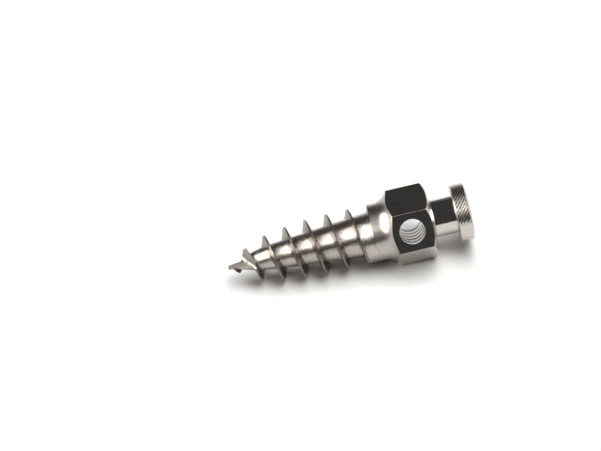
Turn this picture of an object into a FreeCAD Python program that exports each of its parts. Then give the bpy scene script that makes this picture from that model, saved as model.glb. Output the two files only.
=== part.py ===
"""Dental mini implant: a one-piece screw, turned and milled from titanium alloy bar.

From tip to head it has a tapered cutting tip with a deep right-hand thread and a milled flute,
a plain collar, a cove that opens into a hexagon with a cross hole, a neck and a button.
The screw is drawn upright, with its axis on Z and its tip at zero, X towards the top of the
lying screw and Y towards its front. The finished screw is then laid down as it comes to rest.
Lengths are in millimetres and angles in degrees.
"""
import FreeCAD, Part
import Sketcher
import math
import os
from types import SimpleNamespace
from FreeCAD import Placement, Rotation, Vector

SIZES = {
    # Thread and tip
    "thread_diameter": (2.0, "over the crests of the full thread"),
    "thread_pitch": (0.75, "single start, right hand"),
    "thread_length": (5.11, "tip to the wall where the thread ends"),
    "crest_land": (0.05, "flat left on each crest"),
    "flank_angle": (16.0, "slope of each flank from square"),
    "taper_length": (3.7, "tip to where the crests reach full size"),
    "nose_length": (1.05, "straight cone at the very tip"),
    "nose_diameter": (1.38, "over the crests where that cone ends"),
    "tip_diameter": (0.2, "of the blunt point"),
    "first_crest": (0.018, "height of the crest line above the tip, at the top"),
    "root_tip_diameter": (0.16, "of the root at the tip"),
    "root_nose_length": (1.28, "tip to where the slope of the root eases"),
    "root_nose_diameter": (0.83, "of the root there"),
    "root_end_diameter": (1.54, "of the root at its end wall"),
    "runout_turns": (0.5, "turns over which the last groove fades out"),
    # Cutting flute
    "flute_length": (0.5, "tip to where its floor starts to rise, on the axis"),
    "flute_depth": (0.01, "axis down to its floor"),
    "flute_angle": (-13.0, "turn of the side that its floor faces, from the top towards the front"),
    "flute_skew": (22.0, "of its end from square"),
    "flute_corner_radius": (0.2, "between its floor and its end wall"),
    # Collar, cove and hexagon
    "collar_length": (0.24, "plain band between thread and cove"),
    "cove_radius": (0.55, "of the hollow curve up to the hexagon"),
    "drive_length": (1.85, "cove and hexagon together"),
    "hex_across_flats": (2.35, "over two opposite flats"),
    "bar_diameter": (2.8, "of the round bar that the flats are milled from"),
    "hex_chamfer_angle": (32.0, "between the turned chamfer and the end face"),
    "hex_face_diameter": (2.18, "of the end face inside that chamfer"),
    "hex_crown_radius": (0.75, "of the chamfer's slight crown"),
    # Cross hole
    "hole_diameter": (0.9, "through two opposite flats"),
    "hole_distance": (0.765, "from its axis to the end face of the hexagon"),
    "hole_angle": (60.0, "turn of its axis from the top, towards the front"),
    # Neck and button
    "neck_diameter": (1.3, "under the button"),
    "neck_length": (0.83, "hexagon to button"),
    "neck_fillet": (0.08, "radius at the foot of the neck"),
    "button_diameter": (2.0, "over the rim"),
    "button_thickness": (0.52, "along the axis"),
    "button_edge": (0.035, "bevel on the neck side"),
    "button_bevel_height": (0.06, "slope round the end face, along the axis"),
    "button_bevel_width": (0.16, "the same slope, across the axis"),
}
HEX_END = "Sizes.thread_length + Sizes.collar_length + Sizes.drive_length"
HEX_SIDES = 6
FULL_TURN = 360
TURNS_PER_FACE = 0.5
SAMPLES_PER_TURN = 24
CLEARANCE = 0.02
MOUTH_CLEARANCE = 0.2


def make_sheet(doc):
    """Writes every size into a spreadsheet, one to a row, under its own name."""
    sheet = doc.addObject("Spreadsheet::Sheet", "Sizes")
    for row, (name, (value, note)) in enumerate(SIZES.items(), start=1):
        sheet.set(f"A{row}", name)
        sheet.set(f"B{row}", str(value))
        sheet.set(f"C{row}", note)
        sheet.setAlias(f"B{row}", name)
    doc.recompute()
    return sheet


def new_sketch(body, name, role, offset=None):
    """Adds a sketch on one of the body's origin planes, moved by the offset."""
    plane = next(item for item in body.Origin.OriginFeatures if item.Role == role)
    sketch = body.newObject("Sketcher::SketchObject", name)
    sketch.AttachmentSupport = (plane, [""])
    sketch.MapMode = "FlatFace"
    if offset:
        sketch.AttachmentOffset = offset
    return sketch


def bind(sketch, formula, *terms):
    """Adds a constraint whose value follows a formula of named sizes."""
    value = float(sketch.evalExpression(formula))
    index = sketch.addConstraint(Sketcher.Constraint(*terms, value))
    sketch.setExpression(f"Constraints[{index}]", formula)


def fix_point(sketch, edge, end, across, along):
    """Holds one end of an edge at a place given by two formulas."""
    for axis, direction, formula in ((-2, "DistanceX", across), (-1, "DistanceY", along)):
        if formula == "0":
            sketch.addConstraint(Sketcher.Constraint("PointOnObject", edge, end, axis))
        else:
            bind(sketch, formula, direction, -1, 1, edge, end)


def draw_outline(sketch, corners, arcs=None):
    """Draws a closed outline through corners given as pairs of formulas.

    An edge is named by the corner that it starts from. It is a line, or an arc where arcs holds
    its centre and radius.
    """
    arcs = arcs or {}
    places = {name: Vector(*(float(sketch.evalExpression(text)) for text in pair))
              for name, pair in corners.items()}
    names = list(corners)
    ends = []
    for name, after in zip(names, names[1:] + names[:1]):
        start, stop = places[name], places[after]
        if name in arcs:
            centre = Vector(*(float(sketch.evalExpression(text)) for text in arcs[name][:2]))
            radius = float(sketch.evalExpression(arcs[name][2]))
            middle = centre + ((start + stop) / 2 - centre).normalize() * radius
            edge = sketch.addGeometry(Part.ArcOfCircle(start, middle, stop))
            clockwise = (start - centre).cross(stop - centre).z < 0
            ends.append((edge, 2, 1) if clockwise else (edge, 1, 2))
            bind(sketch, arcs[name][2], "Radius", edge)
        else:
            ends.append((sketch.addGeometry(Part.LineSegment(start, stop)), 1, 2))
        fix_point(sketch, ends[-1][0], ends[-1][1], *corners[name])
    for (edge, _, last), (follower, first, _) in zip(ends, ends[1:] + ends[:1]):
        sketch.addConstraint(Sketcher.Constraint("Coincident", edge, last, follower, first))


def turn_blank(body):
    """Turns the blank: the whole outline of the screw, before any thread, flat, hole or flute."""
    neck = "Sizes.neck_diameter / 2"
    button = "Sizes.button_diameter / 2"
    crest = "Sizes.thread_diameter / 2"
    bar = "Sizes.bar_diameter / 2"
    face = "Sizes.hex_face_diameter / 2"
    cove_start = "Sizes.thread_length + Sizes.collar_length"
    cove_centre = f"{crest} + Sizes.cove_radius"
    cove_end = f"{cove_start} + sqrt(Sizes.cove_radius ^ 2 - ({cove_centre} - {bar}) ^ 2)"
    chamfer_start = f"{HEX_END} - ({bar} - {face}) * tan(Sizes.hex_chamfer_angle)"
    chamfer_chord = f"({bar} - {face}) / cos(Sizes.hex_chamfer_angle)"
    crown_depth = f"sqrt(Sizes.hex_crown_radius ^ 2 - ({chamfer_chord}) ^ 2 / 4)"
    button_start = f"{HEX_END} + Sizes.neck_length"
    button_end = f"{button_start} + Sizes.button_thickness"
    nose_rise = f"({crest} - Sizes.nose_diameter / 2)"
    nose_run = "(Sizes.taper_length - Sizes.nose_length)"
    ogive = f"({nose_run} ^ 2 + {nose_rise} ^ 2) / (2 * {nose_rise})"
    corners = {
        "tip centre": ("0", "0"),
        "tip edge": ("Sizes.tip_diameter / 2", "0"),
        "nose end": ("Sizes.nose_diameter / 2", "Sizes.nose_length"),
        "taper end": (crest, "Sizes.taper_length"),
        "cove start": (crest, cove_start),
        "cove end": (bar, cove_end),
        "chamfer start": (bar, chamfer_start),
        "chamfer end": (face, HEX_END),
        "fillet start": (f"{neck} + Sizes.neck_fillet", HEX_END),
        "fillet end": (neck, f"{HEX_END} + Sizes.neck_fillet"),
        "neck end": (neck, button_start),
        "button edge start": (f"{button} - Sizes.button_edge", button_start),
        "button edge end": (button, f"{button_start} + Sizes.button_edge"),
        "bevel start": (button, f"{button_end} - Sizes.button_bevel_height"),
        "bevel end": (f"{button} - Sizes.button_bevel_width", button_end),
        "button centre": ("0", button_end),
    }
    arcs = {
        "nose end": (f"{crest} - {ogive}", "Sizes.taper_length", ogive),
        "cove start": (cove_centre, cove_start, "Sizes.cove_radius"),
        "chamfer start": (f"({bar} + {face}) / 2 - sin(Sizes.hex_chamfer_angle) * {crown_depth}",
                          f"({chamfer_start} + {HEX_END}) / 2 - cos(Sizes.hex_chamfer_angle) * {crown_depth}",
                          "Sizes.hex_crown_radius"),
        "fillet start": (f"{neck} + Sizes.neck_fillet", f"{HEX_END} + Sizes.neck_fillet",
                         "Sizes.neck_fillet"),
    }
    sketch = new_sketch(body, "blank_outline", "XZ_Plane")
    draw_outline(sketch, corners, arcs)
    blank = body.newObject("PartDesign::Revolution", "turned_blank")
    blank.Profile = sketch
    blank.ReferenceAxis = (sketch, ["V_Axis"])
    blank.Angle = FULL_TURN
    return blank


def mill_hexagon(body):
    """Mills six flats, one facing the top, down to where the cove falls inside them."""
    sketch = new_sketch(body, "hexagon", "XY_Plane")
    sketch.setExpression("AttachmentOffset.Base.z", HEX_END)
    half_side = FULL_TURN / HEX_SIDES / 2
    corner = f"Sizes.hex_across_flats / 2 / cos({half_side})"
    turns = [half_side * (2 * side + 1) for side in range(HEX_SIDES)]
    draw_outline(sketch, {
        f"corner at {turn}": (f"{corner} * cos({turn})", f"{corner} * sin({turn})") for turn in turns
    })
    outside = sketch.addGeometry(Part.Circle(Vector(), Vector(0, 0, 1), 1.0))
    sketch.addConstraint(Sketcher.Constraint("Coincident", outside, 3, -1, 1))
    bind(sketch, "Sizes.bar_diameter", "Radius", outside)
    flats = body.newObject("PartDesign::Pocket", "milled_flats")
    flats.Profile = sketch
    flats.setExpression("Length", "Sizes.drive_length")
    return flats


def drill_cross_hole(body):
    """Drills the cross hole square through two opposite flats."""
    turn = Placement(Vector(), Rotation(Vector(0, 1, 0), 90))
    sketch = new_sketch(body, "hole_outline", "XZ_Plane", turn)
    sketch.setExpression("AttachmentOffset.Rotation.Angle", "Sizes.hole_angle + 90")
    circle = sketch.addGeometry(Part.Circle(Vector(0, 1, 0), Vector(0, 0, 1), 1.0))
    fix_point(sketch, circle, 3, "0", f"{HEX_END} - Sizes.hole_distance")
    bind(sketch, "Sizes.hole_diameter / 2", "Radius", circle)
    hole = body.newObject("PartDesign::Pocket", "cross_hole")
    hole.Profile = sketch
    hole.Midplane = True
    hole.Type = "Length"
    hole.setExpression("Length", "2 * Sizes.bar_diameter")
    return hole


def mill_flute(body):
    """Mills away one side of the tip down to the axis, which leaves the thread a cutting edge."""
    sketch = new_sketch(body, "flute_outline", "XZ_Plane")
    sketch.setExpression("AttachmentOffset", "placement(vector(0; 0; 0); "
                         "rotation(vector(0; 1; 0); Sizes.flute_angle) * "
                         "rotation(vector(1; 0; 0); 0 - Sizes.flute_skew))")
    floor = "0 - Sizes.flute_depth"
    wall = "Sizes.flute_length + Sizes.flute_corner_radius"
    outside = "Sizes.thread_diameter / 2"
    corner_centre = f"{floor} + Sizes.flute_corner_radius"
    corners = {
        "floor start": (floor, f"0 - {outside}"),
        "floor end": (floor, "Sizes.flute_length"),
        "wall start": (corner_centre, wall),
        "wall end": (outside, wall),
        "outside": (outside, f"0 - {outside}"),
    }
    arcs = {"floor end": (corner_centre, "Sizes.flute_length", "Sizes.flute_corner_radius")}
    draw_outline(sketch, corners, arcs)
    flute = body.newObject("PartDesign::Pocket", "cutting_flute")
    flute.Profile = sketch
    flute.Midplane = True
    flute.Type = "Length"
    flute.setExpression("Length", "2 * Sizes.thread_diameter")
    return flute


def crest_radius(size, height):
    """Radius of the blank at a height in the thread: nose cone, long arc, then straight."""
    full = size.thread_diameter / 2
    nose = size.nose_diameter / 2
    tip = size.tip_diameter / 2
    if height >= size.taper_length:
        return full
    if height <= size.nose_length:
        return tip + (nose - tip) * height / size.nose_length
    run, rise = size.taper_length - size.nose_length, full - nose
    ogive = (run ** 2 + rise ** 2) / (2 * rise)
    return full - ogive + math.sqrt(ogive ** 2 - (size.taper_length - height) ** 2)


def root_radius(size, height):
    """Radius of the thread's root at a height: two tapers that meet above the nose."""
    tip = size.root_tip_diameter / 2
    nose = size.root_nose_diameter / 2
    end = size.root_end_diameter / 2
    if height < size.root_nose_length:
        return max(tip + (nose - tip) * height / size.root_nose_length, CLEARANCE)
    share = (height - size.root_nose_length) / (size.thread_length - size.root_nose_length)
    return nose + (end - nose) * min(share, 1.0)


def groove_side(size, crest_height, side, fade):
    """Places one side of the groove, as the heights and radii of its foot and of its open mouth.

    The side is 1 for the flank above a crest and -1 for the one below it. The flank runs on past
    the edge of the crest. The fade goes from 0, at full depth, to 1, where the floor is clear of
    the collar.
    """
    wall = size.thread_length
    slope = math.tan(math.radians(size.flank_angle))
    edge_height = crest_height + side * size.crest_land / 2
    root = root_radius(size, edge_height)
    crest = max(crest_radius(size, edge_height), root + CLEARANCE)
    foot_height = edge_height + side * (crest - root) * (1 - fade) * slope
    mouth_height = edge_height - side * CLEARANCE * slope
    floor = root_radius(size, foot_height)
    floor += (crest + CLEARANCE / 2 - floor) * fade
    return [(min(foot_height, wall), floor),
            (min(mouth_height, wall), crest + CLEARANCE),
            (min(mouth_height, wall), crest + MOUTH_CLEARANCE)]


def groove_section(size, turn, full_depth_end):
    """Gives the corners of the groove's section at a turn, in order round it."""
    fade = max(0.0, (turn - full_depth_end) / size.runout_turns)
    crest_height = size.first_crest + size.thread_pitch * turn
    near_side = groove_side(size, crest_height, 1, fade)
    far_side = groove_side(size, crest_height + size.thread_pitch, -1, fade)
    across = Vector(math.cos(math.tau * turn), math.sin(math.tau * turn), 0)
    return [across * radius + Vector(0, 0, height) for height, radius in near_side + far_side[::-1]]


def groove_turns(size):
    """Gives the turns at which the groove starts, meets its end wall, fades and ends.

    Its upper flank meets the wall with its top first, and with its foot where the fade starts.
    """
    depth = crest_radius(size, size.thread_length) - root_radius(size, size.thread_length)
    flank_width = depth * math.tan(math.radians(size.flank_angle))
    top_meets = (size.thread_length + size.crest_land / 2 - size.first_crest) / size.thread_pitch - 1
    foot_meets = top_meets + flank_width / size.thread_pitch
    start = -1 - (size.first_crest + size.crest_land) / size.thread_pitch
    return [start, top_meets, foot_meets, foot_meets + size.runout_turns]


def make_groove(doc, size):
    """Builds the space between the turns of the thread, up to the ramp where it fades out.

    No helix feature follows a root with two tapers that ends in such a ramp, so smooth curves are
    led through the corners of many sections, half a turn at a time, and joined by ruled faces.
    """
    turns = groove_turns(size)
    bounds = turns[:1]
    for stop in turns[1:]:
        start = bounds[-1]
        count = math.ceil((stop - start) / TURNS_PER_FACE)
        bounds += [start + (stop - start) * index / count for index in range(1, count + 1)]
    faces = []
    for start, stop in zip(bounds, bounds[1:]):
        count = max(3, math.ceil((stop - start) * SAMPLES_PER_TURN))
        samples = [start + (stop - start) * index / count for index in range(count + 1)]
        sections = [groove_section(size, turn, turns[2]) for turn in samples]
        curves = []
        for corner in zip(*sections):
            curve = Part.BSplineCurve()
            curve.interpolate(Points=list(corner), Parameters=samples)
            curves.append(curve)
        faces += [curve.makeRuledSurface(after).toShape()
                  for curve, after in zip(curves, curves[1:] + curves[:1])]
    for turn in (turns[0], turns[-1]):
        section = groove_section(size, turn, turns[2])
        faces.append(Part.Face(Part.makePolygon(section + section[:1])))
    shell = Part.makeShell(faces)
    shell.sewShape()
    solid = Part.makeSolid(shell)
    if solid.Volume < 0:
        solid.reverse()
    groove = doc.addObject("Part::Feature", "thread_groove")
    groove.Shape = solid
    return groove


def resting_tilt(size):
    """Angle at which the screw lies, on the edge of its lowest flat and one thread crest."""
    flat = size.hex_across_flats / 2
    cove_rise = size.thread_diameter / 2 + size.cove_radius - flat
    flat_start = size.thread_length + size.collar_length + math.sqrt(size.cove_radius ** 2 - cove_rise ** 2)
    lowest_crests = []
    height = size.first_crest + size.thread_pitch / 2
    while height < size.thread_length:
        lowest_crests.append(height)
        height += size.thread_pitch
    return min(math.degrees(math.atan2(flat - crest_radius(size, height), flat_start - height))
               for height in lowest_crests)


def lay_down(screw, tilt):
    """Lays the screw on the floor, tip towards -X, with the origin under its middle."""
    upright_to_lying = Rotation(Vector(0, 0, 1), Vector(0, -1, 0), Vector(1, 0, 0), "ZXY")
    turn = Rotation(Vector(0, 1, 0), -tilt) * upright_to_lying
    screw.Placement = Placement(Vector(), turn)
    box = screw.Shape.optimalBoundingBox(False)
    screw.Placement = Placement(Vector(-box.Center.x, -box.Center.y, -box.ZMin), turn)


def check_cuts(body, features):
    """Stops the build if a cut took nothing away from the solid before it."""
    for before, after in zip(features, features[1:]):
        if not after.Shape.Volume < before.Shape.Volume:
            raise RuntimeError(f"{after.Name} cuts nothing from {body.Label}")


def check_objects(doc):
    """Stops the build if any object of the document failed."""
    failed = [item.Name for item in doc.Objects if {"Invalid", "Error"} & set(item.State)]
    if failed:
        raise RuntimeError(f"objects that failed: {failed}")


def main():
    """Makes the document, checks the screw and writes its file."""
    doc = FreeCAD.newDocument("MiniImplant")
    sheet = make_sheet(doc)
    size = SimpleNamespace(**{name: sheet.get(name) for name in SIZES})

    body = doc.addObject("PartDesign::Body", "milled_blank")
    features = []
    for make_feature in (turn_blank, mill_hexagon, drill_cross_hole, mill_flute):
        features.append(make_feature(body))
        doc.recompute()
    check_cuts(body, features)

    screw = doc.addObject("Part::Cut", "screw")
    screw.Label = "mini_implant"
    screw.Base = body
    screw.Tool = make_groove(doc, size)
    doc.recompute()
    lay_down(screw, resting_tilt(size))
    doc.recompute()
    check_objects(doc)

    os.makedirs("parts", exist_ok=True)
    shape = screw.Shape
    if shape.isNull() or not shape.isValid() or len(shape.Solids) != 1:
        raise RuntimeError(f"{screw.Label} is not one sound solid")
    box = shape.optimalBoundingBox(False)
    print(f"{screw.Label}: {shape.Volume:.3f} mm3,"
          f" {box.XLength:.3f} x {box.YLength:.3f} x {box.ZLength:.3f} mm")
    shape.exportStep(f"parts/{screw.Label}.step")


main()
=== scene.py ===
"""Looks of the dental mini implant: a fine mesh, its machined titanium and a small studio.

The screw is modelled upright in millimetres, as on the lathe, with its tip at zero and its axis on
Z, X towards the top of the lying screw and Y towards its front. Then it is laid on the floor where
the frame has it and scaled to metres.
"""
import bpy
import math
from mathutils import Matrix, Vector


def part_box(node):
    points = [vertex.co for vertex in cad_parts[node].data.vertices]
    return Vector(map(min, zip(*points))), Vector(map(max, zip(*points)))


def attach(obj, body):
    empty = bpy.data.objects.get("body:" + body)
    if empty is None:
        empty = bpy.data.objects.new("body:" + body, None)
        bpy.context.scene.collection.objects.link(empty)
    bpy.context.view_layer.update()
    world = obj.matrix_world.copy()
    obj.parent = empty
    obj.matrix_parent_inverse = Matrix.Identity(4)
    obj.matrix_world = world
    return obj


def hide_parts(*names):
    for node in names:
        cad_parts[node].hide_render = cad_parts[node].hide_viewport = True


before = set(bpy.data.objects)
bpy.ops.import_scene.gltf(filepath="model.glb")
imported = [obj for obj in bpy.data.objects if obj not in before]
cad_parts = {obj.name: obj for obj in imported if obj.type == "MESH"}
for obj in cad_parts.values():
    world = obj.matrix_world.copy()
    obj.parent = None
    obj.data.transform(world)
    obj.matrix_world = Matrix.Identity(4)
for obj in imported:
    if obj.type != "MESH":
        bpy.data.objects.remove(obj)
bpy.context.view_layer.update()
NODE = "mini_implant"
MM = 0.001

# Thread and tip, in millimetres and degrees
THREAD_RADIUS = 1.0
PITCH = 0.75
THREAD_LENGTH = 5.11
CREST_LAND = 0.05
FLANK_ANGLE = 16.0
TAPER_LENGTH = 3.7
NOSE_LENGTH, NOSE_RADIUS = 1.05, 0.69
TIP_RADIUS = 0.1
FIRST_CREST = 0.018
ROOT_TIP_RADIUS = 0.08
ROOT_NOSE_LENGTH, ROOT_NOSE_RADIUS = 1.28, 0.415
ROOT_END_RADIUS = 0.77
RUNOUT_TURNS = 0.5

# Cutting flute
FLUTE_LENGTH = 0.5
FLUTE_DEPTH = 0.01
FLUTE_ANGLE = -13.0
FLUTE_SKEW = 22.0
FLUTE_CORNER_RADIUS = 0.2

# Collar, cove, hexagon and cross hole
COVE_START = THREAD_LENGTH + 0.24
COVE_RADIUS = 0.55
HEX_END = COVE_START + 1.85
ACROSS_FLATS = 2.35
HEX_EDGE_ROUNDING = 0.008
BAR_RADIUS = 1.4
HEX_CHAMFER_ANGLE = 32.0
HEX_FACE_RADIUS = 1.09
HEX_CROWN_RADIUS = 0.75
HOLE_RADIUS = 0.45
HOLE_HEIGHT = HEX_END - 0.765
HOLE_ANGLE = 60.0

# Neck and button
NECK_RADIUS = 0.65
NECK_FILLET = 0.08
BUTTON_START = HEX_END + 0.83
BUTTON_END = BUTTON_START + 0.52
BUTTON_RADIUS = 1.0
BUTTON_EDGE = 0.035
BUTTON_BEVEL = (0.16, 0.06)

# The finishes, in the order of the screw's materials
FINISHES = ("thread_cut", "coarse_cut_painted_shade", "scored", "turned", "milled", "drilled", "polished")

# What tells their faces apart: the distance within which a face lies on a surface, and how far the
# normal may rise on a side face and must rise on an end face
ON_SURFACE = 0.01
LEVEL_RISE = 0.1
END_FACE_RISE = 0.7

# How finely the mesh is cut, and how far its cutters stand clear of it
STEPS_ROUND = 192
STEPS_PER_TURN = 96
HOLE_STEPS = 128
CURVE_STEPS = 24
FLUTE_CORNER_STEPS = 12
SMALL_CURVE_STEPS = 8
EDGE_STEPS = 4
MERGE_DISTANCE = 1e-5
SMOOTH_ANGLE = 25.0
CLEARANCE = 0.02
MOUTH_CLEARANCE = 0.2


def deselect_all():
    """Leaves nothing selected, because an operator acts on all that is."""
    bpy.ops.object.select_all(action="DESELECT")


def add_mesh(name, points, faces=(), edges=()):
    """Makes a mesh object from points, and selects it alone."""
    mesh = bpy.data.meshes.new(name)
    mesh.from_pydata(points, edges, faces)
    piece = bpy.data.objects.new(name, mesh)
    bpy.context.scene.collection.objects.link(piece)
    deselect_all()
    piece.select_set(True)
    bpy.context.view_layer.objects.active = piece
    return piece


def close_and_orient(piece):
    """Merges doubled points and turns every face outwards."""
    bpy.context.view_layer.objects.active = piece
    bpy.ops.object.mode_set(mode="EDIT")
    bpy.ops.mesh.select_all(action="SELECT")
    bpy.ops.mesh.remove_doubles(threshold=MERGE_DISTANCE)
    bpy.ops.mesh.normals_make_consistent(inside=False)
    bpy.ops.object.mode_set(mode="OBJECT")


def spin_outline(name, outline, axis_point=(0, 0, 0), axis=(0, 0, 1)):
    """Spins an outline, whose ends lie on the axis or which is closed, into a turned solid."""
    edges = [(index, index + 1) for index in range(len(outline) - 1)]
    piece = add_mesh(name, outline, edges=edges)
    bpy.ops.object.mode_set(mode="EDIT")
    bpy.ops.mesh.select_all(action="SELECT")
    bpy.ops.mesh.spin(steps=STEPS_ROUND, angle=math.tau, center=axis_point, axis=axis)
    bpy.ops.object.mode_set(mode="OBJECT")
    close_and_orient(piece)
    return piece


def cut(piece, tool, operation="DIFFERENCE"):
    """Cuts the piece with a tool, or keeps only what lies in it, and deletes the tool."""
    deselect_all()
    piece.select_set(True)
    bpy.context.view_layer.objects.active = piece
    boolean = piece.modifiers.new(operation.title(), "BOOLEAN")
    boolean.operation = operation
    boolean.solver = "EXACT"
    boolean.object = tool
    bpy.ops.object.modifier_apply(modifier=boolean.name)
    bpy.data.objects.remove(tool)


def arc(centre, radius, start, stop, steps):
    """Gives the points of an arc in the XZ plane, from one angle to another in radians."""
    turns = [start + (stop - start) * index / steps for index in range(steps + 1)]
    return [(centre[0] + radius * math.cos(turn), 0, centre[1] + radius * math.sin(turn))
            for turn in turns]


def crest_radius(height):
    """Radius over the crests: nose cone, long arc, then straight."""
    if height >= TAPER_LENGTH:
        return THREAD_RADIUS
    if height <= NOSE_LENGTH:
        return TIP_RADIUS + (NOSE_RADIUS - TIP_RADIUS) * height / NOSE_LENGTH
    run, rise = TAPER_LENGTH - NOSE_LENGTH, THREAD_RADIUS - NOSE_RADIUS
    ogive = (run ** 2 + rise ** 2) / (2 * rise)
    return THREAD_RADIUS - ogive + math.sqrt(ogive ** 2 - (TAPER_LENGTH - height) ** 2)


def root_radius(height):
    """Radius of the thread's root: two tapers that meet above the nose."""
    if height < ROOT_NOSE_LENGTH:
        grown = (ROOT_NOSE_RADIUS - ROOT_TIP_RADIUS) * height / ROOT_NOSE_LENGTH
        return max(ROOT_TIP_RADIUS + grown, CLEARANCE)
    share = (height - ROOT_NOSE_LENGTH) / (THREAD_LENGTH - ROOT_NOSE_LENGTH)
    return ROOT_NOSE_RADIUS + (ROOT_END_RADIUS - ROOT_NOSE_RADIUS) * min(share, 1.0)


def chamfer_crown():
    """Gives the points of the slightly crowned chamfer at the hexagon's end."""
    slope = math.radians(HEX_CHAMFER_ANGLE)
    width = BAR_RADIUS - HEX_FACE_RADIUS
    half_chord = width / math.cos(slope) / 2
    depth = math.sqrt(HEX_CROWN_RADIUS ** 2 - half_chord ** 2)
    centre = ((BAR_RADIUS + HEX_FACE_RADIUS) / 2 - math.sin(slope) * depth,
              HEX_END - width * math.tan(slope) / 2 - math.cos(slope) * depth)
    middle = math.pi / 2 - slope
    swing = math.asin(half_chord / HEX_CROWN_RADIUS)
    return arc(centre, HEX_CROWN_RADIUS, middle - swing, middle + swing, SMALL_CURVE_STEPS)


def turn_blank():
    """Turns the whole outline from bar, before any thread, flat, hole or flute."""
    step = (TAPER_LENGTH - NOSE_LENGTH) / CURVE_STEPS
    heights = [NOSE_LENGTH + step * index for index in range(CURVE_STEPS + 1)]
    outline = [(0, 0, 0), (TIP_RADIUS, 0, 0)]
    outline += [(crest_radius(height), 0, height) for height in heights]
    cove_centre = (THREAD_RADIUS + COVE_RADIUS, COVE_START)
    cove_stop = math.pi - math.acos((cove_centre[0] - BAR_RADIUS) / COVE_RADIUS)
    outline += arc(cove_centre, COVE_RADIUS, math.pi, cove_stop, CURVE_STEPS)
    outline += chamfer_crown()
    fillet_centre = (NECK_RADIUS + NECK_FILLET, HEX_END + NECK_FILLET)
    outline += arc(fillet_centre, NECK_FILLET, 1.5 * math.pi, math.pi, SMALL_CURVE_STEPS)
    outline += [
        (NECK_RADIUS, 0, BUTTON_START),
        (BUTTON_RADIUS - BUTTON_EDGE, 0, BUTTON_START),
        (BUTTON_RADIUS, 0, BUTTON_START + BUTTON_EDGE),
        (BUTTON_RADIUS, 0, BUTTON_END - BUTTON_BEVEL[1]),
        (BUTTON_RADIUS - BUTTON_BEVEL[0], 0, BUTTON_END),
        (0, 0, BUTTON_END),
    ]
    return spin_outline("turned_blank", outline)


def mill_hexagon(screw):
    """Keeps what lies in a hexagonal prism, which only the bar is wide enough to touch."""
    deselect_all()
    corner = ACROSS_FLATS / 2 / math.cos(math.pi / 6)
    bpy.ops.mesh.primitive_cylinder_add(vertices=6, radius=corner, depth=3 * BUTTON_END)
    prism = bpy.context.active_object
    bpy.ops.object.mode_set(mode="EDIT")
    bpy.ops.mesh.select_all(action="DESELECT")
    bpy.ops.object.mode_set(mode="OBJECT")
    for edge in prism.data.edges:
        start, stop = (prism.data.vertices[index].co for index in edge.vertices)
        edge.select = abs(start.z - stop.z) > BUTTON_END
    bpy.ops.object.mode_set(mode="EDIT")
    bpy.ops.mesh.bevel(offset=HEX_EDGE_ROUNDING, segments=EDGE_STEPS)
    bpy.ops.object.mode_set(mode="OBJECT")
    cut(screw, prism, "INTERSECT")


def drill_cross_hole(screw):
    """Drills the cross hole through two opposite flats."""
    deselect_all()
    turn = Matrix.Rotation(math.radians(HOLE_ANGLE), 3, "Z") @ Matrix.Rotation(math.pi / 2, 3, "Y")
    bpy.ops.mesh.primitive_cylinder_add(vertices=HOLE_STEPS, radius=HOLE_RADIUS,
                                        depth=4 * BAR_RADIUS, location=(0, 0, HOLE_HEIGHT),
                                        rotation=turn.to_euler())
    cut(screw, bpy.context.active_object)


def mill_flute(screw):
    """Mills away one side of the tip down to the axis, which leaves the thread a cutting edge."""
    reach = 2 * THREAD_RADIUS
    corner_centre = (FLUTE_CORNER_RADIUS - FLUTE_DEPTH, FLUTE_LENGTH)
    corner = arc(corner_centre, FLUTE_CORNER_RADIUS, math.pi, math.pi / 2, FLUTE_CORNER_STEPS)
    outline = [(-FLUTE_DEPTH, -reach, -THREAD_RADIUS)]
    outline += [(x, -reach, z) for x, _, z in corner]
    outline += [(reach, -reach, outline[-1][2]), (reach, -reach, -THREAD_RADIUS)]
    cutter = add_mesh("flute_cutter", outline, faces=[tuple(range(len(outline)))])
    bpy.ops.object.mode_set(mode="EDIT")
    bpy.ops.mesh.select_all(action="SELECT")
    bpy.ops.mesh.extrude_region_move(TRANSFORM_OT_translate={"value": (0, 2 * reach, 0)})
    bpy.ops.object.mode_set(mode="OBJECT")
    close_and_orient(cutter)
    skew = Matrix.Rotation(math.radians(FLUTE_SKEW), 4, "X")
    cutter.data.transform(Matrix.Rotation(math.radians(FLUTE_ANGLE), 4, "Z") @ skew)
    cut(screw, cutter)


def groove_side(crest_height, side, fade):
    """Places one side of the groove, as the radii and heights of its foot and of its open mouth."""
    slope = math.tan(math.radians(FLANK_ANGLE))
    edge_height = crest_height + side * CREST_LAND / 2
    root = root_radius(edge_height)
    crest = max(crest_radius(edge_height), root + CLEARANCE)
    foot_height = edge_height + side * (crest - root) * (1 - fade) * slope
    mouth_height = edge_height - side * CLEARANCE * slope
    floor = root_radius(foot_height)
    floor += (crest + CLEARANCE / 2 - floor) * fade
    return [(min(foot_height, THREAD_LENGTH), floor),
            (min(mouth_height, THREAD_LENGTH), crest + CLEARANCE),
            (min(mouth_height, THREAD_LENGTH), crest + MOUTH_CLEARANCE)]


def groove_section(turn, full_depth_end):
    """Gives the corners of the groove's section at a turn, in order round it."""
    fade = max(0.0, (turn - full_depth_end) / RUNOUT_TURNS)
    crest_height = FIRST_CREST + PITCH * turn
    near_side = groove_side(crest_height, 1, fade)
    far_side = groove_side(crest_height + PITCH, -1, fade)
    return [(radius * math.cos(math.tau * turn), radius * math.sin(math.tau * turn), height)
            for height, radius in near_side + far_side[::-1]]


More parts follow.
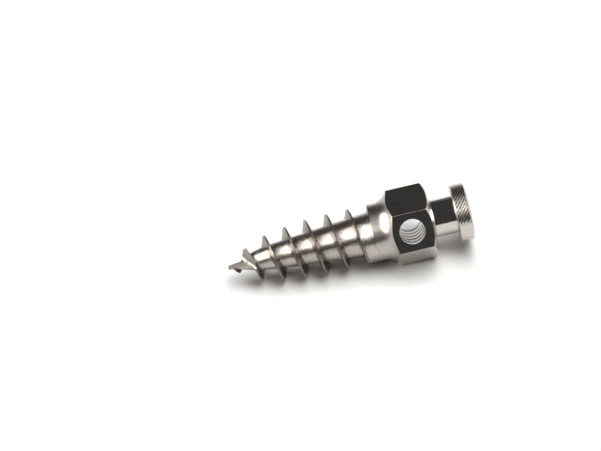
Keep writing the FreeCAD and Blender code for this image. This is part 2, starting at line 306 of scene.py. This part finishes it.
def cut_thread(screw):
    """Cuts the space between the turns of the thread, up to the ramp where it fades out."""
    depth = THREAD_RADIUS - ROOT_END_RADIUS
    flank_width = depth * math.tan(math.radians(FLANK_ANGLE))
    last_crest = THREAD_LENGTH + CREST_LAND / 2 + flank_width
    full_depth_end = (last_crest - FIRST_CREST) / PITCH - 1
    start = -1 - (FIRST_CREST + CREST_LAND) / PITCH
    stop = full_depth_end + RUNOUT_TURNS
    count = math.ceil((stop - start) * STEPS_PER_TURN)
    turns = [start + (stop - start) * index / count for index in range(count + 1)]
    sections = [groove_section(turn, full_depth_end) for turn in turns]
    corners = len(sections[0])
    faces = []
    for row in range(count):
        for corner in range(corners):
            near, after = row * corners + corner, row * corners + (corner + 1) % corners
            faces.append((near, after, after + corners, near + corners))
    faces.append(tuple(reversed(range(corners))))
    faces.append(tuple(range(count * corners, (count + 1) * corners)))
    groove = add_mesh("thread_groove", [point for section in sections for point in section], faces)
    close_and_orient(groove)
    cut(screw, groove)


def finish_of(centre, normal):
    """Names the machining that left a face, from its place and normal on the upright screw."""
    from_flat = abs(centre.dot(normal) - ACROSS_FLATS / 2)
    if abs(normal.z) < LEVEL_RISE and from_flat < ON_SURFACE and centre.z < HEX_END:
        return "milled"
    hole_axis = Vector((math.cos(math.radians(HOLE_ANGLE)), math.sin(math.radians(HOLE_ANGLE)), 0))
    from_hole = centre - Vector((0, 0, HOLE_HEIGHT))
    from_hole -= hole_axis * from_hole.dot(hole_axis)
    if from_hole.length < HOLE_RADIUS + ON_SURFACE and COVE_START < centre.z < HEX_END:
        return "drilled"
    radius = centre.xy.length
    if HEX_END + NECK_FILLET < centre.z < BUTTON_START and radius < NECK_RADIUS + ON_SURFACE:
        return "polished"
    if centre.z > BUTTON_START and abs(normal.z) < END_FACE_RISE:
        return "scored"
    if centre.z > THREAD_LENGTH:
        return "turned"
    # Flanks, crests and end faces of the thread get the finish with painted shade.
    if abs(normal.z) > END_FACE_RISE or radius > crest_radius(centre.z) - ON_SURFACE:
        return "coarse_cut_painted_shade"
    return "thread_cut"


def assign_finishes(screw):
    """Gives each face the number of the finish that its machining left."""
    for face in screw.data.polygons:
        face.material_index = FINISHES.index(finish_of(face.center, face.normal))


def resting_tilt():
    """Angle at which the screw lies, on the edge of its lowest flat and one thread crest."""
    flat = ACROSS_FLATS / 2
    cove_rise = THREAD_RADIUS + COVE_RADIUS - flat
    flat_start = COVE_START + math.sqrt(COVE_RADIUS ** 2 - cove_rise ** 2)
    heights = [FIRST_CREST + PITCH * (index + 0.5) for index in range(int(THREAD_LENGTH / PITCH))]
    return min(math.atan2(flat - crest_radius(height), flat_start - height) for height in heights)


def lying_turn():
    """Turns upright directions into those of the lying screw: tip towards -X, top towards +Z."""
    upright_to_lying = Matrix(((0, 0, 1), (0, -1, 0), (1, 0, 0)))
    return Matrix.Rotation(-resting_tilt(), 3, "Y") @ upright_to_lying


def lay_down(screw):
    """Lays the screw into the frame's box, scales it to metres and gives back its place."""
    place = lying_turn().to_4x4() @ Matrix.Scale(MM, 4)
    screw.data.transform(place)
    points = [vertex.co for vertex in screw.data.vertices]
    low = Vector([min(point[axis] for point in points) for axis in range(3)])
    high = Vector([max(point[axis] for point in points) for axis in range(3)])
    box_low, box_high = (Vector(corner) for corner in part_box(NODE))
    shift = (box_low + box_high - low - high) / 2
    shift.z = box_low.z - low.z
    screw.data.transform(Matrix.Translation(shift))
    screw.data.update()
    return Matrix.Translation(shift) @ place


def make_screw():
    """Makes the fine mesh of the screw and gives it back with its place."""
    screw = turn_blank()
    screw.name = screw.data.name = "machined_screw"
    mill_hexagon(screw)
    drill_cross_hole(screw)
    mill_flute(screw)
    cut_thread(screw)
    close_and_orient(screw)
    assign_finishes(screw)
    place = lay_down(screw)
    deselect_all()
    screw.select_set(True)
    bpy.context.view_layer.objects.active = screw
    bpy.ops.object.shade_smooth_by_angle(angle=math.radians(SMOOTH_ANGLE))
    return screw, place


# Spacing of the lines left by the turning tool, in millimetres, drawn coarser than the real one
TURNING_FEED = 1 / 30


def linear(hex_colour):
    """Turns an sRGB hex colour into the linear values that a shader takes."""
    parts = [int(hex_colour[start:start + 2], 16) / 255 for start in (0, 2, 4)]
    return [part / 12.92 if part <= 0.04045 else ((part + 0.055) / 1.055) ** 2.4
            for part in parts] + [1.0]


def add_node(tree, kind, settings=None, links=None):
    """Adds a node, sets its properties and inputs, and links its inputs, by name or number."""
    node = tree.nodes.new(kind)
    for name, value in (settings or {}).items():
        if isinstance(name, int) or name in node.inputs:
            node.inputs[name].default_value = value
        else:
            setattr(node, name, value)
    for name, source in (links or {}).items():
        tree.links.new(source, node.inputs[name])
    return node


def along_screw(tree, place):
    """Gives a point in millimetres along the axes of the upright screw."""
    location, rotation, scale = place.inverted().decompose()
    coordinates = add_node(tree, "ShaderNodeTexCoord")
    mapping = add_node(tree, "ShaderNodeMapping",
                       {"Location": location, "Rotation": rotation.to_euler(), "Scale": scale},
                       {"Vector": coordinates.outputs["Object"]})
    return mapping.outputs["Vector"]


def unrolled(tree, place):
    """Gives a point of the unrolled surface: X round it in radians, Y along it in millimetres.

    On the screw's outside a radian is about a millimetre. Y is height and radius together, so that
    lines round the screw go on as rings on its end faces.
    """
    point = along_screw(tree, place)
    parts = add_node(tree, "ShaderNodeSeparateXYZ", links={"Vector": point})
    turn = add_node(tree, "ShaderNodeMath", {"operation": "ARCTAN2"},
                    {0: parts.outputs["Y"], 1: parts.outputs["X"]})
    level = add_node(tree, "ShaderNodeVectorMath", {"operation": "MULTIPLY", 1: (1, 1, 0)},
                     {0: point})
    radius = add_node(tree, "ShaderNodeVectorMath", {"operation": "LENGTH"},
                      {0: level.outputs["Vector"]})
    reach = add_node(tree, "ShaderNodeMath", {"operation": "ADD"},
                     {0: radius.outputs["Value"], 1: parts.outputs["Z"]})
    flat = add_node(tree, "ShaderNodeCombineXYZ",
                    links={"X": turn.outputs["Value"], "Y": reach.outputs["Value"]})
    return flat.outputs["Vector"]


def across_hole(tree, place):
    """Gives a point in millimetres whose Y runs along the cross hole."""
    aligned = add_node(tree, "ShaderNodeMapping",
                       {"Rotation": (0, 0, math.radians(90 - HOLE_ANGLE))},
                       {"Vector": along_screw(tree, place)})
    return aligned.outputs["Vector"]


def streaks(tree, point, size):
    """Noise drawn out into streaks, which changes over so many millimetres each way."""
    drawn = add_node(tree, "ShaderNodeVectorMath",
                     {"operation": "MULTIPLY", 1: [1 / length for length in size]}, {0: point})
    noise = add_node(tree, "ShaderNodeTexNoise", {"Scale": 1.0, "Detail": 3.0, "Roughness": 0.6},
                     {"Vector": drawn.outputs["Vector"]})
    stretched = add_node(tree, "ShaderNodeMapRange", {"From Min": 0.3, "From Max": 0.7},
                         {"Value": noise.outputs["Fac"]})
    return stretched.outputs["Result"]


def tool_marks(tree, point, spacing, lean, wander):
    """Ridges side by side along Y, so many millimetres apart, that lean by an angle and wander.

    A band texture of scale 1 repeats every pi / 10.
    """
    leaning = add_node(tree, "ShaderNodeMapping", {"Rotation": (0, 0, math.radians(lean))},
                       {"Vector": point})
    ridges = add_node(tree, "ShaderNodeTexWave",
                      {"wave_type": "BANDS", "bands_direction": "Y",
                       "Scale": math.pi / 10 / spacing, "Distortion": wander,
                       "Detail": 2.0, "Detail Scale": 2.0},
                      {"Vector": leaning.outputs["Vector"]})
    return ridges.outputs["Fac"]


def new_titanium(name):
    """Bare titanium alloy, a neutral grey metal."""
    material = bpy.data.materials.new(name)
    material.use_nodes = True
    material.node_tree.nodes["Principled BSDF"].inputs["Metallic"].default_value = 1.0
    return material


def engrave(material, marks, depth, colours, roughness):
    """Raises the marks by a depth in millimetres, and varies colour and roughness between them."""
    tree = material.node_tree
    shader = tree.nodes["Principled BSDF"]
    valley, ridge = colours
    colour = add_node(tree, "ShaderNodeMix",
                      {"data_type": "RGBA", 6: linear(valley), 7: linear(ridge)}, {0: marks})
    rough = add_node(tree, "ShaderNodeMapRange", {"To Min": roughness[0], "To Max": roughness[1]},
                     {"Value": marks})
    relief = add_node(tree, "ShaderNodeBump", {"Strength": 1.0, "Distance": depth * MM},
                      {"Height": marks})
    tree.links.new(colour.outputs[2], shader.inputs["Base Color"])
    tree.links.new(rough.outputs["Result"], shader.inputs["Roughness"])
    tree.links.new(relief.outputs["Normal"], shader.inputs["Normal"])


def lathe_grain(material, place, strength):
    """Spreads reflections along the screw, as very fine tool marks round it do."""
    tree = material.node_tree
    shader = tree.nodes["Principled BSDF"]
    shader.inputs["Anisotropic"].default_value = strength
    shader.inputs["Anisotropic Rotation"].default_value = 0.25
    axis = (place.to_3x3() @ Vector((0, 0, 1))).normalized()
    coordinates = add_node(tree, "ShaderNodeTexCoord")
    from_tip = add_node(tree, "ShaderNodeVectorMath",
                        {"operation": "SUBTRACT", 1: place.translation},
                        {0: coordinates.outputs["Object"]})
    round_axis = add_node(tree, "ShaderNodeVectorMath", {"operation": "CROSS_PRODUCT", 0: axis},
                          {1: from_tip.outputs["Vector"]})
    tree.links.new(round_axis.outputs["Vector"], shader.inputs["Tangent"])


def thread_cut(place):
    """Root of the thread: each highlight is drawn out along the screw, and its edge is broken up.

    The single-point tool chatters. Its marks lie 0.1 mm apart, three pixels, as in the photograph.
    """
    material = new_titanium("thread-cut titanium")
    tree = material.node_tree
    marks = tool_marks(tree, unrolled(tree, place), 0.1, lean=-15, wander=6.0)
    engrave(material, marks, 0.0035, ("C6C0BA", "B8B2AC"), (0.28, 0.42))
    lathe_grain(material, place, 1.0)
    return material


def coarse_cut_painted_shade(place):
    """Flanks and crests of the thread: torn by the cut, so duller than its root, and painted darker
    as painted shade for the shadowed surroundings that they reflect.

    The lines of the feed run round them. Real ones are finer, about 0.01 mm, and are drawn a pixel
    wide.
    """
    material = new_titanium("coarse-cut titanium with painted shade")
    tree = material.node_tree
    marks = streaks(tree, unrolled(tree, place), (1, TURNING_FEED, 1))
    # Painted shade: these colours are far darker than the root's, to stand in for the shadowed
    # surroundings that the flanks and crests reflect.
    engrave(material, marks, 0.002, ("726C67", "8C8680"), (0.25, 0.35))
    return material


def scored(place):
    """Rim of the button: fine slanting scores glitter where the rim catches a light.

    They lie 0.09 mm apart, as they do in the photograph.
    """
    material = new_titanium("scored titanium")
    tree = material.node_tree
    marks = tool_marks(tree, unrolled(tree, place), 0.09, lean=38, wander=2.5)
    engrave(material, marks, 0.003, ("CAC5C0", "BEB9B4"), (0.18, 0.28))
    lathe_grain(material, place, 0.8)
    return material


def turned(place):
    """Collar, cove, chamfer and end faces: a soft, satin shine, drawn out across the feed lines.

    Real feed lines are finer, about 0.01 mm, and are drawn a pixel wide.
    """
    material = new_titanium("turned titanium")
    tree = material.node_tree
    marks = streaks(tree, unrolled(tree, place), (1, TURNING_FEED, 1))
    engrave(material, marks, 0.0006, ("A8A39E", "B4AFAA"), (0.27, 0.33))
    lathe_grain(material, place, 0.6)
    return material


def milled(place):
    """Flats of the hexagon: nearly mirrors, which show one even tone, with faint lines lengthwise.

    Real lines of the cutter are finer, about 0.01 mm, and are drawn a pixel wide.
    """
    material = new_titanium("milled titanium")
    tree = material.node_tree
    marks = streaks(tree, along_screw(tree, place), (0.04, 0.04, 0.5))
    engrave(material, marks, 0.0002, ("B0ABA6", "CCC7C2"), (0.08, 0.14))
    return material


def drilled(place):
    """Wall of the cross hole: rings left by the drill in the relief, with a painted reflection on
    them as near-black and near-white bands by turns.

    Real rings are about 0.1 mm apart. The wall is seen at such a slant that they would lie less
    than a pixel apart, so they are drawn at 0.42 mm.
    """
    material = new_titanium("drilled titanium")
    tree = material.node_tree
    marks = tool_marks(tree, across_hole(tree, place), 0.42, lean=0, wander=1.6)
    # Painted reflection: the near-black and near-white colours draw light and dark bands on the
    # drill rings, which the relief alone does not show.
    engrave(material, marks, 0.05, ("3A3633", "F2EFEC"), (0.12, 0.25))
    return material


def polished(place):
    """Neck, smoothed for the thread or wire that is tied round it: it mirrors what stands about it.

    The lines left round it lie 0.025 mm apart, under a pixel, and only blur the mirror a little.
    """
    material = new_titanium("polished titanium")
    tree = material.node_tree
    marks = streaks(tree, unrolled(tree, place), (0.5, 0.025, 1))
    engrave(material, marks, 0.0003, ("BEB9B4", "CCC7C2"), (0.06, 0.12))
    return material


# Studio, in metres and watts: softboxes stand at one distance, and the floor runs on past the view
SOFTBOX_DISTANCE = 0.3
SIDE_DIRECTION = (0.766, -0.15, 0.62)
SIDE_SIZE = (0.32, 0.2)
SIDE_POWER = 2.9
OVERHEAD_DIRECTION = (0.2, 0.06, 1)
OVERHEAD_SIZE = (0.4, 0.18)
OVERHEAD_POWER = 1.37
FLOOR_SIZE = 2.0
BACKDROP_SIZE = (2, 0.32)
BACKDROP_DISTANCE = 0.8
BACKDROP_GLOW = 0.3


def paper(name, colour):
    """Matt paper or board, which has no shine and is as bright as it is lit."""
    material = bpy.data.materials.new(name)
    material.use_nodes = True
    shader = material.node_tree.nodes["Principled BSDF"]
    shader.inputs["Base Color"].default_value = linear(colour)
    shader.inputs["Roughness"].default_value = 0.9
    shader.inputs["Specular IOR Level"].default_value = 0.0
    return material


def white_floor():
    """White paper under the screw."""
    deselect_all()
    bpy.ops.mesh.primitive_plane_add(size=FLOOR_SIZE)
    floor = bpy.context.active_object
    floor.name = "white_floor"
    floor.data.materials.append(paper("matt white paper", "F6F6F4"))


def grey_backdrop():
    """A low grey board on the floor behind, which the round parts' upper edges reflect."""
    deselect_all()
    width, height = BACKDROP_SIZE
    bpy.ops.mesh.primitive_plane_add(size=1.0, location=(0, BACKDROP_DISTANCE, height / 2),
                                     rotation=(math.pi / 2, 0, 0))
    board = bpy.context.active_object
    board.name = "grey_backdrop"
    board.data.transform(Matrix.Diagonal((width, height, 1, 1)))
    glowing = paper("grey board", "B8B8B6")
    shader = glowing.node_tree.nodes["Principled BSDF"]
    shader.inputs["Emission Color"].default_value = linear("B8B8B6")
    shader.inputs["Emission Strength"].default_value = BACKDROP_GLOW
    board.data.materials.append(glowing)


def add_softbox(name, direction, size, power, colour="FFFFFF"):
    """Stands a softbox in a direction from the screw, facing it."""
    lamp = bpy.data.lights.new(name, "AREA")
    lamp.shape = "RECTANGLE"
    lamp.size, lamp.size_y = size
    lamp.energy = power
    lamp.color = linear(colour)[:3]
    softbox = bpy.data.objects.new(name, lamp)
    bpy.context.scene.collection.objects.link(softbox)
    direction = Vector(direction).normalized()
    softbox.location = direction * SOFTBOX_DISTANCE
    softbox.rotation_euler = direction.to_track_quat("Z", "Y").to_euler()
    return softbox


def studio():
    """Lights the metal from both ends, high and a little to the front, and the paper from above."""
    white_floor()
    grey_backdrop()
    x, y, z = SIDE_DIRECTION
    left = add_softbox("left_softbox", (-x, y, z), SIDE_SIZE, SIDE_POWER, "FFF9F0")
    right = add_softbox("right_softbox", (x, y, z), SIDE_SIZE, SIDE_POWER)
    left.visible_diffuse = right.visible_diffuse = False
    overhead = add_softbox("overhead_softbox", OVERHEAD_DIRECTION, OVERHEAD_SIZE, OVERHEAD_POWER)
    overhead.visible_glossy = False
    world = bpy.data.worlds.new("dark studio")
    bpy.context.scene.world = world
    world.use_nodes = True
    world.node_tree.nodes["Background"].inputs["Color"].default_value = linear("464645")


# The photograph's view: the screw lies square to it, seen from above its front
PHOTO_WIDTH, PHOTO_HEIGHT = 601, 451
AXIS_RISE = math.radians(13.2)
VIEW_ABOVE_FRONT = math.radians(43.0)
PIXELS_PER_MM = 29.0
AXIS_PIXEL = (351.8, 238.0)
AXIS_PIXEL_HEIGHT = 4.38
LENS, SENSOR = 220.0, 36.0
CLIP_START = 0.001


def add_camera(place):
    """Stands the camera where the photograph was taken from, rolled as the photograph is."""
    turn = lying_turn()
    along = turn @ Vector((0, 0, 1))
    towards_camera = turn @ Vector((math.sin(VIEW_ABOVE_FRONT), math.cos(VIEW_ABOVE_FRONT), 0))
    across = towards_camera.cross(along)
    right = math.cos(AXIS_RISE) * along - math.sin(AXIS_RISE) * across
    up = math.sin(AXIS_RISE) * along + math.cos(AXIS_RISE) * across
    scale = MM / PIXELS_PER_MM
    target = place @ Vector((0, 0, AXIS_PIXEL_HEIGHT))
    target -= right * (AXIS_PIXEL[0] - PHOTO_WIDTH / 2) * scale
    target += up * (AXIS_PIXEL[1] - PHOTO_HEIGHT / 2) * scale
    distance = PHOTO_WIDTH * scale * LENS / SENSOR
    camera = bpy.data.cameras.new("photo_view")
    camera.lens = LENS
    camera.sensor_width = SENSOR
    camera.clip_start = CLIP_START
    view = bpy.data.objects.new("photo_view", camera)
    bpy.context.scene.collection.objects.link(view)
    rotation = Matrix((right, up, towards_camera)).transposed().to_4x4()
    view.matrix_world = Matrix.Translation(target + towards_camera * distance) @ rotation
    bpy.context.scene.camera = view


screw, place = make_screw()

# In the order of FINISHES, by which the faces are numbered
for finish in (thread_cut, coarse_cut_painted_shade, scored, turned, milled, drilled, polished):
    screw.data.materials.append(finish(place))
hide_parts(NODE)
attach(screw, "root")
studio()
add_camera(place)
bpy.context.scene.view_settings.view_transform = "Standard"
